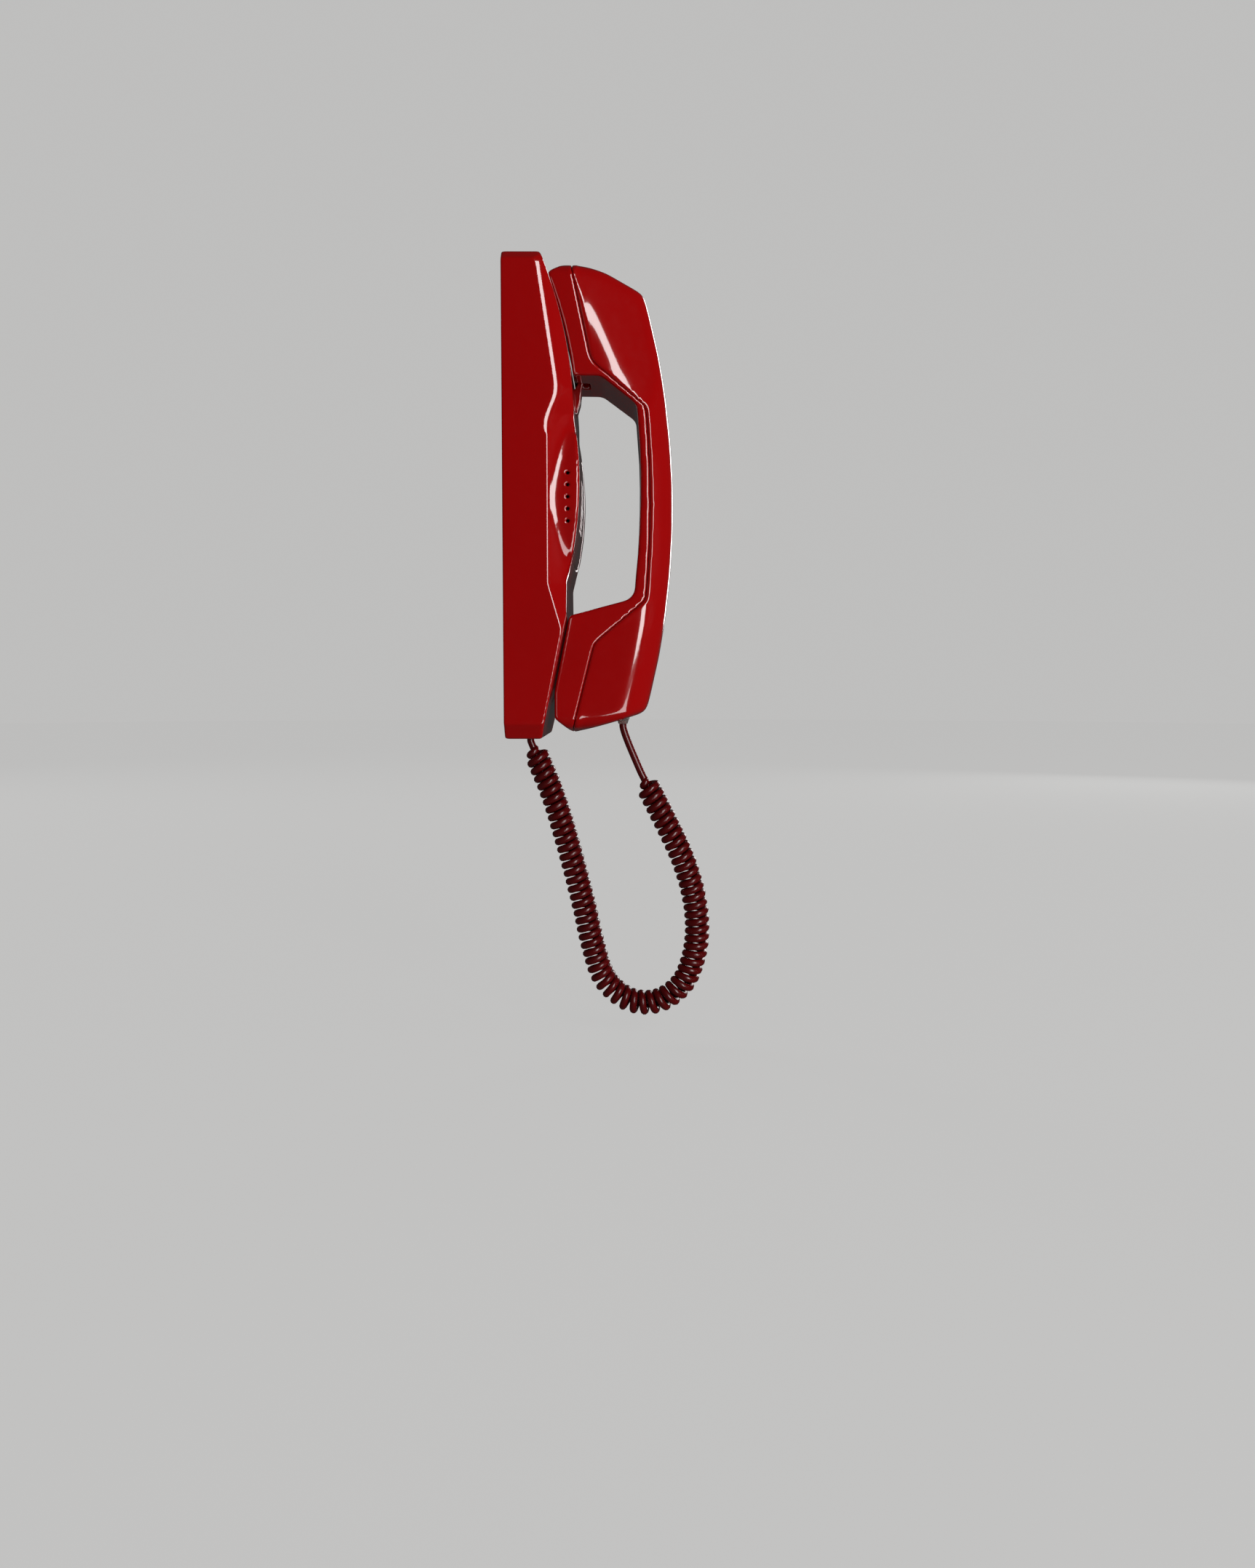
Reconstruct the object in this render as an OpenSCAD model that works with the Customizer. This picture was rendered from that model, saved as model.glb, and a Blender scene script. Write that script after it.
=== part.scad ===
// Slimline wall telephone with a hanging handset and a curly cord.
// Frame: the origin is the centre of the base's back face, +Z is up,
// +X is to the right seen from the front, and the front looks along -Y.

/* [Base] */
// Width of the base
base_w = 90; // [86:1:96]
// Height of the base
base_h = 217; // [215:1:222]
// Wall thickness of the base cover
cover_t = 2.5; // [2:0.1:3]
// Half width of the crowned pad at its middle
pad_half_w = 43.5; // [42:0.5:43.5]
// Diameter of the small sound holes
sound_d = 1.8; // [1.4:0.1:2.2]
// Spacing of the sound holes
sound_pitch = 5.3; // [4.8:0.1:5.6]

/* [Handset] */
// Width over the ear and mouth ends
hand_w = 48; // [46:1:50]
// Width of the grip
grip_w = 42.6; // [41:0.2:44]
// Wall thickness of the handset shells
hand_t = 2.2; // [2:0.1:2.4]
// Width of the long facets at the back of the handset
hand_edge = 9; // [7:1:10]

/* [Motion] */
// Travel of the hook plunger
plunger_travel = 3.5; // [2:0.5:4]

/* [Wall fixing] */
// Spacing of the two keyhole slots
keyhole_spacing = 84; // [80:1:90]
// Diameter of the entry hole of a keyhole slot
keyhole_d = 9.5; // [9:0.5:10.5]
// Width of the slot above the entry hole
keyhole_slot = 4.6; // [4:0.2:5]

/* [Cord] */
// Outer diameter of the curly cord's coil
coil_d = 12.4; // [11:0.2:13]
// Diameter of the cord itself
lead_d = 3.6; // [3.2:0.1:4]

/* [Hidden] */

$fn = 48;
red = [0.66, 0.02, 0.04];
dark = [0.12, 0.12, 0.13];
steel = [0.72, 0.73, 0.75];

half_w = base_w / 2;
half_h = base_h / 2;

// ---- points of the side profile, given as [y, z] ----
low_y = -17;          // depth at the bottom edge
top_y = -17.2;        // depth at the top edge
shelf_y = -28.5;      // depth between the lower slope and the pad
shelf_z0 = -52;
pad_z0 = -37;
pad_z1 = 37;
pad_y1 = -32;
upper_r = 187;        // radius of the convex upper face
pad_r = 164;          // radius of the pad's crown
seat_gap = 0.4;       // room between the handset and the base

// ---- outline helpers ----
function unit(v) = v / norm(v);
function turn(a) = a > 180 ? a - 360 : (a < -180 ? a + 360 : a);
// centre of the circle of radius r through a and b that bulges left of a -> b
function arc_centre(a, b, r) =
  let (d = b - a, l = norm(d))
  (a + b) / 2 - [-d[1], d[0]] / l * sqrt(r * r - l * l / 4);
// inner points of that arc, in n steps
function arc_pts(a, b, r, n) =
  let (c = arc_centre(a, b, r), a0 = atan2(a[1] - c[1], a[0] - c[0]),
       da = turn(atan2(b[1] - c[1], b[0] - c[0]) - a0))
  [for (i = [1:n - 1]) c + r * [cos(a0 + da * i / n), sin(a0 + da * i / n)]];
// one corner q = [x, y, r] between its neighbours, as a rounded run of points
function corner(p, q, s) =
  let (r = q[2], b = [q[0], q[1]], u = unit([p[0], p[1]] - b), v = unit([s[0], s[1]] - b))
  r == 0 || norm(u + v) < 0.02 ? [b] :
  let (half = acos(u * v) / 2, c = b + unit(u + v) * r / sin(half),
       p1 = b + u * r / tan(half) - c, p2 = b + v * r / tan(half) - c,
       a0 = atan2(p1[1], p1[0]), da = turn(atan2(p2[1], p2[0]) - a0),
       n = max(2, ceil(abs(da) / 15)))
  [for (i = [0:n]) c + r * [cos(a0 + da * i / n), sin(a0 + da * i / n)]];
function round_path(p) =
  let (n = len(p))
  [for (i = [0:n - 1]) each corner(p[(i + n - 1) % n], p[i], p[(i + 1) % n])];
function crisp(pts) = [for (p = pts) [p[0], p[1], 0]];
function twice_area(p, i = 0) =
  i == len(p) ? 0 :
  p[i][0] * p[(i + 1) % len(p)][1] - p[(i + 1) % len(p)][0] * p[i][1] + twice_area(p, i + 1);
// a closed outline moved inwards by t
function inset(p, t) =
  let (n = len(p), s = sign(twice_area(p)))
  [for (i = [0:n - 1])
    let (u = unit(p[i] - p[(i + n - 1) % n]), v = unit(p[(i + 1) % n] - p[i]),
         a = s * [-u[1], u[0]], b = s * [-v[1], v[0]])
    p[i] + (a + b) * t / (1 + a * b)];

// a [y, z] outline extruded along X, centred
module along_x(w) {
  translate([-w / 2, 0, 0]) rotate([90, 0, 90]) linear_extrude(w) children();
}
// an [x, z] outline extruded towards the front from y = y0
module along_front(y0, depth) {
  translate([0, y0, 0]) rotate([90, 0, 0]) linear_extrude(depth) children();
}
// a round bar whose axis points to the front, from y = y0 to y = y1
module front_bar(d, y0, y1) {
  translate([0, max(y0, y1), 0]) rotate([90, 0, 0]) cylinder(d = d, h = abs(y1 - y0));
}
module rounded_rect(w, h, r) {
  polygon(round_path([[-w / 2, -h / 2, r], [w / 2, -h / 2, r], [w / 2, h / 2, r], [-w / 2, h / 2, r]]));
}

// ================= base =================
upper_c = arc_centre([pad_y1, pad_z1], [top_y, half_h], upper_r);
// depth of the upper face at height z, d further out
function upper_y(z, d = 0) = upper_c[0] - sqrt(pow(upper_r + d, 2) - pow(z - upper_c[1], 2));
// depth of the lower face at height z
function lower_y(z) = low_y + (shelf_y - low_y) * (z + half_h) / (shelf_z0 + half_h);

function base_pts(back) = concat(
  [[back, -half_h], [low_y, -half_h], [shelf_y, shelf_z0], [shelf_y, pad_z0], [pad_y1, pad_z1]],
  [for (i = [1:9]) let (z = pad_z1 + (half_h - pad_z1) * i / 10) [upper_y(z), z]],
  [[top_y, half_h], [back, half_h]]);
function pad_pts(back) = concat(
  [[back, pad_z0], [shelf_y, pad_z0]],
  [for (i = [1:13]) let (z = pad_z0 + (pad_z1 - pad_z0) * i / 14) [crown_y(z), z]],
  [[pad_y1, pad_z1], [back, pad_z1]]);
pad_c = arc_centre([shelf_y, pad_z0], [pad_y1, pad_z1], pad_r);
// depth of the pad's crown at height z, d further in
function crown_y(z, d = 0) = pad_c[0] - sqrt(pow(pad_r - d, 2) - pow(z - pad_c[1], 2));

// the broad corner facet as [x + depth, z]: how much corner is left at each height
facet = [
  [75, -70.3], [65.6, -38], [65.6, 31], [65.9, 34], [66.9, 37.5], [69.4, 43], [70.4, 46],
  [70.7, 49], [70.2, 53], [62.5, 103]
];
module facet_side(turned, t) {
  reach = 200;
  rotate([0, 0, turned]) along_x(400)
    polygon(concat(
      [[-reach, -reach], [reach, -reach], [reach, facet[0][1]]],
      [for (p = facet) [(p[0] - t * sqrt(2)) / sqrt(2), p[1]]],
      [[(facet[9][0] - t * sqrt(2)) / sqrt(2), reach], [-reach, reach]]));
}
// front outline of the base: small chamfers on top, larger ones at the bottom
module base_outline(t) {
  w = half_w - t;
  h = half_h - t;
  polygon([[-w, -h + 7], [-w + 6, -h], [w - 6, -h], [w, -h + 7], [w, h - 4], [w - 3.5, h],
           [-w + 3.5, h], [-w, h - 4]]);
}
// the base's outer form, or its hollow when t is the wall and back is past the rim
module base_form(t, back) {
  intersection() {
    along_x(base_w - 2 * t) polygon(inset(base_pts(back + t), t));
    along_front(back + 1, 60) base_outline(t);
    facet_side(135, t);
    facet_side(225, t);
  }
}
// the crowned pad in the middle, with bowed side walls
pad_side_r = 75;
module pad_form(t, back) {
  intersection() {
    along_x(base_w) polygon(inset(pad_pts(back + t), t));
    along_front(back + 1, 60) intersection_for (s = [-1, 1])
      translate([s * (pad_side_r - pad_half_w), 0]) circle(r = pad_side_r - t, $fn = 96);
  }
}

// ---- places inside the base ----
plate_t = 3;            // back plate
screw_x = 30;           // back plate screws
screw_z = 90;
board_w = 56;
board_t = 1.6;
board_y = -9;           // back of the circuit board
board_z0 = -30;
board_z1 = 84;
board_front = board_y - board_t;
post_x = 24;            // circuit board screws
post_z0 = -22;
post_z1 = 64;
plunger_d = 7;
plunger_z = 76;
sleeve_y = -23.5;       // inner end of the plunger's guide sleeve
button_y = board_front - 7;   // tip of the hook switch's button
hook_w = 10;
slide_y = -13;          // ringer volume slide
slide_z = -14;
slide_travel = 3;
jack_y = -9;            // axis of the cord's jack in the bottom
ringer_z = 0.6;
panel_w = 58;           // front panel set into the pad
panel_h = 54;
panel_t = 1.6;
side_holes = 5;
side_hole_y = -29.3;    // depth of the holes in the pad's side walls
hole_cols = 5;
boss_d = 7;             // bosses of the back plate screws
pilot_d = 2.9;          // their screw holes
screw_hole_d = 3.4;     // clearance holes in the back plate
head_d = 6.4;           // counterbores for the screw heads
sounder_x = 25;         // sounder clamp screws
sounder_d = 34;
window_z = 46.9;        // window of the hanger tab
window_h = 9.2;
slot_w = 4.4;           // slot of the ringer volume slide
slot_h = 16.4;
socket_w = 10;          // opening of the cord's jack
socket_d = 8.6;
line_jack_z = -10;

module at_corners(x, z0, z1) {
  for (sx = [-1, 1], z = [z0, z1])
    translate([sx * x, 0, z]) children();
}
// a thin layer under the crown, from depth d0 to depth d1
module crown_layer(d0, d1) {
  n = 16;
  steps = [for (i = [0:n]) pad_z0 + 2 + (pad_z1 - pad_z0 - 4) * i / n];
  along_x(base_w) polygon(concat(
    [for (z = steps) [crown_y(z, d0), z]],
    [for (i = [n:-1:0]) [crown_y(steps[i], d1), steps[i]]]));
}
module sound_field() {
  for (row = [0:side_holes - 1], col = [0:hole_cols - 1])
    translate([(col - 2) * sound_pitch, 0, ringer_z + (row - 2) * sound_pitch])
      front_bar(sound_d, -20, -40);
  for (row = [0:side_holes - 2], col = [0:hole_cols - 2])
    translate([(col - 1.5) * sound_pitch, 0, ringer_z + (row - 1.5) * sound_pitch])
      front_bar(sound_d, -20, -40);
}

module base_cover() color(red) {
  difference() {
    union() {
      difference() {
        union() {
          base_form(0, 0);
          pad_form(0, -12);
        }
        base_form(cover_t, 1);
        pad_form(cover_t + 0.7, -11);
      }
      // bosses for the back plate screws
      intersection() {
        at_corners(screw_x, -screw_z, screw_z) front_bar(boss_d, -plate_t, -30);
        base_form(1, 0);
      }
      // posts for the sounder clamp
      intersection() {
        for (sx = [-1, 1]) translate([sx * sounder_x, 0, ringer_z]) front_bar(6, -26, -36);
        pad_form(1, -11);
      }
      // guide sleeve of the hook plunger
      intersection() {
        translate([0, 0, plunger_z]) front_bar(plunger_d + 4, sleeve_y, -32);
        base_form(1, 0);
      }
    }
    // seat of the front panel and the window behind it
    intersection() {
      along_front(-24, 20) rounded_rect(panel_w, panel_h, 5);
      crown_layer(-1, panel_t);
    }
    along_front(-24, 20) rounded_rect(panel_w - 20, panel_h - 22, 3);
    // sound holes in both side walls of the pad
    for (row = [0:side_holes - 1])
      translate([-half_w, side_hole_y, ringer_z + (row - 2) * sound_pitch])
        rotate([0, 90, 0]) cylinder(d = sound_d, h = base_w);
    // window of the hanger tab
    translate([-hook_w / 2 - 0.1, -36, window_z]) cube([hook_w + 0.2, 12, window_h]);
    translate([0, 0, plunger_z]) front_bar(plunger_d + 0.1, -20, -34);
    at_corners(screw_x, -screw_z, screw_z) front_bar(pilot_d, -plate_t + 1, -14);
    for (sx = [-1, 1]) translate([sx * sounder_x, 0, ringer_z]) front_bar(2.4, -25, -31);
    // slot of the ringer volume slide
    translate([half_w - cover_t - 1, slide_y - slot_w / 2, slide_z - slot_h / 2])
      cube([cover_t + 2, slot_w, slot_h]);
    // opening of the cord's jack
    translate([-socket_w / 2, jack_y - socket_d / 2, -half_h - 1]) cube([socket_w, socket_d, cover_t + 2]);
  }
}

module keyhole() {
  front_bar(keyhole_d, 1, -plate_t - 1);
  translate([0, 0, 8]) front_bar(keyhole_slot, 1, -plate_t - 1);
  translate([-keyhole_slot / 2, -plate_t - 1, 0]) cube([keyhole_slot, plate_t + 2, 8]);
}
module back_plate() color(dark) {
  difference() {
    union() {
      along_front(0, plate_t) base_outline(cover_t + 0.15);
      at_corners(post_x, post_z0, post_z1) front_bar(6, -plate_t + 0.5, board_y);
    }
    for (s = [-1, 1]) translate([0, 0, s * keyhole_spacing / 2]) keyhole();
    at_corners(screw_x, -screw_z, screw_z) {
      front_bar(screw_hole_d, 1, -plate_t - 1);
      front_bar(head_d, 1, -1.6);
    }
    at_corners(post_x, post_z0, post_z1) front_bar(2.4, -4, board_y - 1);
    translate([-7, -plate_t - 1, line_jack_z - 6]) cube([14, plate_t + 2, 12]);
  }
}
module face_plate() color(red) {
  difference() {
    intersection() {
      along_front(-24, 20) rounded_rect(panel_w - 0.5, panel_h - 0.5, 4.8);
      crown_layer(0.15, panel_t);
    }
    sound_field();
  }
}

// hanger tab: a tongue on the upper face whose peg holds the handset
module hook_tab() color(red) {
  along_x(hook_w) polygon(round_path([
    [upper_y(43.7) - 0.05, 43.7, 0], [-33.8, 50, 1.5], [-34.6, 57, 3], [-36.6, 62, 0.8], [-34.4, 62.6, 0.8],
    [upper_y(56) - 0.25, 56, 1], [-27.4, 56, 0], [-27.4, 57.5, 0], [-25.6, 57.5, 0],
    [-25.6, 45.5, 0], [-27.4, 45.5, 0], [-27.4, 47, 0], [upper_y(47) - 0.05, 47, 0]
  ]));
}
plunger_tip = upper_y(plunger_z) + 1.2;
// the collar stops against the sleeve when the plunger is fully out
collar_y = sleeve_y + plunger_travel + 0.1;
module hook_plunger() color(dark) {
  c = plunger_tip - collar_y;
  end = plunger_tip - (button_y - 0.3);
  translate([0, plunger_tip, plunger_z]) rotate([90, 0, 0]) rotate_extrude() polygon([
    [0, end], [2, end], [2, c - 1], [5, c - 1], [5, c], [plunger_d / 2, c],
    [plunger_d / 2, -0.8], [plunger_d / 2 - 0.8, 0], [0, 0]
  ]);
}
module box(x, y, z, w, d, h) {
  translate([x - w / 2, y - d, z - h / 2]) cube([w, d, h]);
}
// a pan-head screw pointing into the base (+Y), head on the front at y = y0
module front_screw(d, head, length, y0) {
  front_bar(d, y0 + length, y0 - 0.5);
  difference() {
    front_bar(head, y0, y0 - 1.5);
    box(0, y0 - 0.8, 0, head * 0.8, 1, 0.7);
    box(0, y0 - 0.8, 0, 0.7, 1, head * 0.8);
  }
}

module hook_switch() color(dark) {
  box(0, board_front, plunger_z - 2, 13, 6, 15);
  translate([0, 0, plunger_z]) front_bar(3.4, board_front - 5.5, button_y);
}
module circuit_board() color([0.13, 0.34, 0.2]) {
  difference() {
    translate([-board_w / 2, board_front, board_z0]) cube([board_w, board_t, board_z1 - board_z0]);
    at_corners(post_x, post_z0, post_z1) front_bar(2.6, board_y + 1, board_front - 1);
  }
}
module board_screws() color(steel) {
  at_corners(post_x, post_z0, post_z1) front_screw(2.35, 4.6, 6, board_front);
}
module line_transformer() color([0.55, 0.45, 0.2]) {
  box(-13, board_front, 42, 16, 2, 18);
  box(-13, board_front - 2, 42, 13, 9, 12);
  box(-13, board_front - 11, 42, 16, 2, 18);
}
module capacitors() color([0.2, 0.25, 0.5]) {
  for (i = [0:2])
    translate([10, 0, 34 + 11 * i]) front_bar(8, board_front, board_front - 11);
  for (i = [0:3])
    box(-14 + 9 * i, board_front, -24, 6, 5, 3);
}
module line_jack() color(dark) {
  difference() {
    union() {
      box(0, -0.2, line_jack_z, 13.8, 8.6, 11.8);
      box(0, -plate_t - 0.1, line_jack_z, 18, 2, 16);
    }
    box(0, 1, line_jack_z - 0.4, 10, 8, 7.4);
    box(0, 1, line_jack_z + 4, 6, 8, 3);
  }
}
module cord_jack() color(dark) {
  difference() {
    box(0, jack_y + 5.5, -half_h + cover_t + 7.6, 13, 10.6, 15.2);
    box(0, jack_y + 4, -half_h + cover_t + 6, 8.1, 7.5, 14);
  }
}
module ringer_sounder() color([0.25, 0.24, 0.24]) {
  translate([0, 0, ringer_z]) {
    difference() {
      front_bar(sounder_d, -21, -28);
      front_bar(26, -26.5, -29);
    }
    front_bar(22, -26, -27.2);
    front_bar(20, -17.5, -21.5);
  }
}
module sounder_ring() color(dark) {
  difference() {
    translate([0, 0, ringer_z]) {
      front_bar(39, -23, -26);
      for (s = [-1, 1]) box(s * 22, -24, 0, 12, 2, 8);
    }
    translate([0, 0, ringer_z]) front_bar(sounder_d + 0.05, -20, -30);
    for (s = [-1, 1]) translate([s * sounder_x, 0, ringer_z]) front_bar(2.6, -20, -30);
  }
}
module sounder_screws() color(steel) {
  for (s = [-1, 1]) translate([s * sounder_x, 0, ringer_z]) {
    front_bar(2.3, -23, -30);
    front_bar(4.4, -22.4, -24);
  }
}
module ringer_slide() color(dark) {
  translate([half_w, slide_y, slide_z]) {
    translate([-3.9, -3.2, -12]) cube([1.2, 6.4, 24]);
    translate([-3.2, -2, -5]) cube([4.8, 4, 10]);
    for (i = [-1:1]) translate([1.4, -2, i * 2.6 - 0.5]) cube([0.8, 4, 1]);
    translate([-9, -1.2, -1.2]) cube([5.5, 2.4, 2.4]);
  }
}
module ringer_switch() color(steel) {
  difference() {
    box(half_w - 12, slide_y + 3.5, slide_z, 10, 7, 20);
    box(half_w - 8.5, slide_y + 1.5, slide_z, 5, 3, 2.8 + 2 * slide_travel);
  }
}
module cover_screws() color(steel) {
  at_corners(screw_x, -screw_z, screw_z) {
    front_bar(2.85, -0.8, -12);
    difference() {
      front_bar(5.8, -0.1, -1.6);
      box(0, 1, 0, 4.4, 2, 0.7);
      box(0, 1, 0, 0.7, 2, 4.4);
    }
  }
}

// a swept tube: one ring of points for each point of the route
function tangent(p, i) = unit(p[min(i + 1, len(p) - 1)] - p[max(i - 1, 0)]);
function ring(c, dir, side, r, n) =
  let (u = unit(side - dir * (side * dir)), v = cross(dir, u))
  [for (k = [0:n - 1]) c + r * (cos(360 * k / n) * u + sin(360 * k / n) * v)];
module tube(path, d, n = 8, side = [1, 0, 0]) {
  m = len(path);
  r = d / 2 / cos(180 / n);
  pts = [for (i = [0:m - 1]) each ring(path[i], tangent(path, i), side, r, n)];
  walls = [for (i = [0:m - 2], k = [0:n - 1])
    let (a = i * n + k, b = i * n + (k + 1) % n) [a, b, b + n, a + n]];
  ends = [[for (k = [n - 1:-1:0]) k], [for (k = [0:n - 1]) (m - 1) * n + k]];
  polyhedron(concat(pts, [path[0], path[m - 1]]), concat(
    [for (f = walls) [f[2], f[1], f[0]]], [for (f = walls) [f[3], f[2], f[0]]],
    [for (k = [0:n - 1]) [k, (k + 1) % n, n * m]],
    [for (k = [0:n - 1]) [(m - 1) * n + (k + 1) % n, (m - 1) * n + k, n * m + 1]]));
}
// Catmull-Rom curve through hand-picked points, k steps to a span
function curve(p, k) = [
  for (i = [0:len(p) - 2], j = [0:k - 1])
    let (a = p[max(i - 1, 0)], b = p[i], c = p[i + 1], d = p[min(i + 2, len(p) - 1)], t = j / k)
    0.5 * (2 * b + (c - a) * t + (2 * a - 5 * b + 4 * c - d) * t * t
      + (3 * b - a - 3 * c + d) * t * t * t),
  p[len(p) - 1]
];

wire_d = 1.3;
module base_wires() {
  color([0.8, 0.7, 0.1])
    tube(curve([[-3, -8, -90.3], [-3, -8, -80], [-8, -9, -60], [-12, -12, -38], [-12, -12.5, -29]], 3),
      wire_d, 8);
  color([0.1, 0.5, 0.2])
    tube(curve([[3, -8, -90.3], [3, -8, -80], [8, -9, -60], [14, -12, -38], [14, -12.5, -29]], 3),
      wire_d, 8);
}

// ================= handset =================
back_c = [285, -1];     // centre of the long back arc
back_r = 363;
ear_z0 = 58.6;          // underside of the ear end
ear_z1 = 105;
tip_top = 111.2;
tip_low = -106.4;
function back_y(z) = back_c[0] - sqrt(back_r * back_r - pow(z - back_c[1], 2));
function hand_inner_y(z) = upper_y(z, seat_gap);
grip_in0 = [-60, -34];
grip_in1 = [-61.4, 36];
grip_r = 401;

// corners of the side profile as [y, z, radius]
function hand_corners() = concat(
  [[hand_inner_y(ear_z1), ear_z1, 2.5], [-29.5, tip_top, 5], [-46, 107.4, 0],
   [back_y(98.8), 98.8, 3]],
  [for (i = [0:9]) let (z = 90 - 20 * i) [back_y(z), z, 0]],
  [[back_y(-96.8), -96.8, 2.5], [-48.2, -101.8, 0], [-36.2, -105.2, 0],
   [-30.2, tip_low, 1.5], [-21.9, -99.6, 2], [-21.9, -86.5, 4], [-28.9, -51.4, 2],
   [-59.4, -43.2, 7], [grip_in0[0], grip_in0[1], 0]],
  crisp(arc_pts(grip_in0, grip_in1, grip_r, 6)),
  [[-60.4, 46, 5], [-44, 58.4, 6], [hand_inner_y(ear_z0), ear_z0, 1]],
  [for (i = [1:5]) let (z = ear_z0 + (ear_z1 - ear_z0) * i / 6) [hand_inner_y(z), z, 0]]);
// the same corners moved inwards by t, with their radii kept true, then rounded
function inset_round(c, t) =
  let (n = len(c), flat = [for (p = c) [p[0], p[1]]], s = sign(twice_area(flat)), q = inset(flat, t))
  round_path([for (i = [0:n - 1])
    let (u = flat[i] - flat[(i + n - 1) % n], v = flat[(i + 1) % n] - flat[i],
         convex = s * (u[0] * v[1] - u[1] * v[0]) > 0, r = c[i][2])
    [q[i][0], q[i][1], r == 0 ? 0 : (convex ? max(r - t, 0) : r + t)]]);

end_crown = 90;         // radius of the crowned ends, seen from the front
shoulder = 60;          // where the ear end starts to narrow
grip_top = 44;
grip_low = -41;
mouth_top = -54;
function front_corners() =
  let (a = hand_w / 2, g = grip_w / 2, drop = a * a / (2 * end_crown))
  concat(
    [[a, tip_low + drop, 6], [a, mouth_top, 8], [g, grip_low, 8], [g, grip_top, 8],
     [a, shoulder, 8], [a, tip_top - drop, 6]],
    [for (i = [-3:3]) let (x = -i * 5) [x, tip_top + 0.1 - x * x / (2 * end_crown), 0]],
    [[-a, tip_top - drop, 6], [-a, shoulder, 8], [-g, grip_top, 8], [-g, grip_low, 8],
     [-a, mouth_top, 8], [-a, tip_low + drop, 6]],
    [for (i = [-3:3]) let (x = i * 5) [x, tip_low - 0.1 + x * x / (2 * end_crown), 0]]);
// half width of the handset at height z
function half_at(z) =
  z > shoulder || z < mouth_top ? hand_w / 2 :
  z < grip_top && z > grip_low ? grip_w / 2 :
  z > 0 ? lookup(z, [[grip_top, grip_w / 2], [shoulder, hand_w / 2]]) :
  lookup(z, [[mouth_top, hand_w / 2], [grip_low, grip_w / 2]]);
// broad 45 degree facets along the back, following its arc
facet_z = [-125, -97, -75, mouth_top, grip_low, -20, 0, 20, grip_top, shoulder, 80, 98, 125];
module back_facet(turned, t) {
  reach = 150;
  rotate([0, 0, turned]) along_x(300)
    polygon(concat([[-reach, -125]],
      [for (z = facet_z) [(half_at(z) - back_y(z) - hand_edge - t * sqrt(2)) / sqrt(2), z]],
      [[-reach, 125]]));
}
// a shallow facet that narrows the ear end towards its back
ear_facet_d = 48.8;
module ear_facet(side, t) {
  mirror([side, 0, 0]) rotate([0, -8.9, -20.2])
    translate([-250, -250, -250]) cube([250 + ear_facet_d - t, 500, 500]);
}
module hand_form(t) {
  intersection() {
    along_x(hand_w - 2 * t) polygon(inset_round(hand_corners(), t));
    along_front(-10, 80) polygon(inset_round(front_corners(), t));
    back_facet(135, t);
    back_facet(225, t);
    ear_facet(0, t);
    ear_facet(1, t);
  }
}
// the line where the two shells part, as [y, z, radius]
part_line = concat(
  [[-30.4, 120, 0], [-30.4, 106.6, 0], [-39.3, 65.2, 10], [-64.6, 45, 6]],
  [for (i = [1:5]) let (z = 44.4 - 88.4 * i / 6) [-66.6 + z * z / 970, z, 0]],
  [[-64.6, -44, 6], [-40.6, -64.2, 8], [-30.3, -104.8, 0], [-30.3, -120, 0]]);
groove = 0.25;
module inner_side(g) {
  along_x(60) translate([g, 0]) polygon(round_path(concat(part_line, [[0, -120, 0], [0, 120, 0]])));
}
module outer_side(g) {
  along_x(60) translate([-g, 0])
    polygon(round_path(concat(part_line, [[-100, -120, 0], [-100, 120, 0]])));
}

ear_c = 84;             // height of the receiver
mouth_c = -73;          // height of the microphone
boss_x = 16.5;
boss_ear_z = 64.5;
boss_mouth_z = -91;
hand_jack_y = -54;
ear_tilt = asin((ear_c - upper_c[1]) / upper_r);
mouth_tilt = atan((shelf_y - low_y) / (shelf_z0 + half_h));

// moves a piece made at the origin, facing the base, onto the ear or mouth face
module on_ear() {
  translate([0, hand_inner_y(ear_c), ear_c]) rotate([90 - ear_tilt, 0, 0]) children();
}
module on_mouth() {
  translate([0, lower_y(mouth_c) - seat_gap, mouth_c]) rotate([90 - mouth_tilt, 0, 0]) children();
}
module hole_rings(rings) {
  cylinder(d = 2, h = 12, center = true);
  for (k = [1:rings], i = [0:6 * k - 1])
    rotate(60 * i / k) translate([4.2 * k, 0, 0]) cylinder(d = 2, h = 12, center = true);
}
module hand_shell() {
  difference() {
    hand_form(0);
    hand_form(hand_t);
  }
}
module outer_bosses() {
  for (sx = [-1, 1]) {
    translate([sx * boss_x, 0, boss_ear_z]) front_bar(6, -46.5, -75);
    translate([sx * boss_x, 0, boss_mouth_z]) front_bar(6, -41.5, -72);
  }
}
module handset_outer_shell() color(red) {
  difference() {
    union() {
      intersection() {
        hand_shell();
        outer_side(0);
      }
      intersection() {
        union() {
          outer_bosses();
          for (z = [-18, 22]) translate([0, 0, z]) front_bar(6, -72.5, -80);
        }
        hand_form(1);
      }
    }
    difference() {
      intersection() {
        inner_side(-groove);
        outer_side(0);
      }
      hand_form(0.9);
    }
    for (sx = [-1, 1]) {
      translate([sx * boss_x, 0, boss_ear_z]) front_bar(2.5, -46, -58);
      translate([sx * boss_x, 0, boss_mouth_z]) front_bar(2.5, -41, -53);
    }
    for (z = [-18, 22]) translate([0, 0, z]) front_bar(2.4, -72, -76);
    translate([-5, hand_jack_y - 4.5, tip_low - 1]) cube([10, 9, 12]);
  }
}
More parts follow.
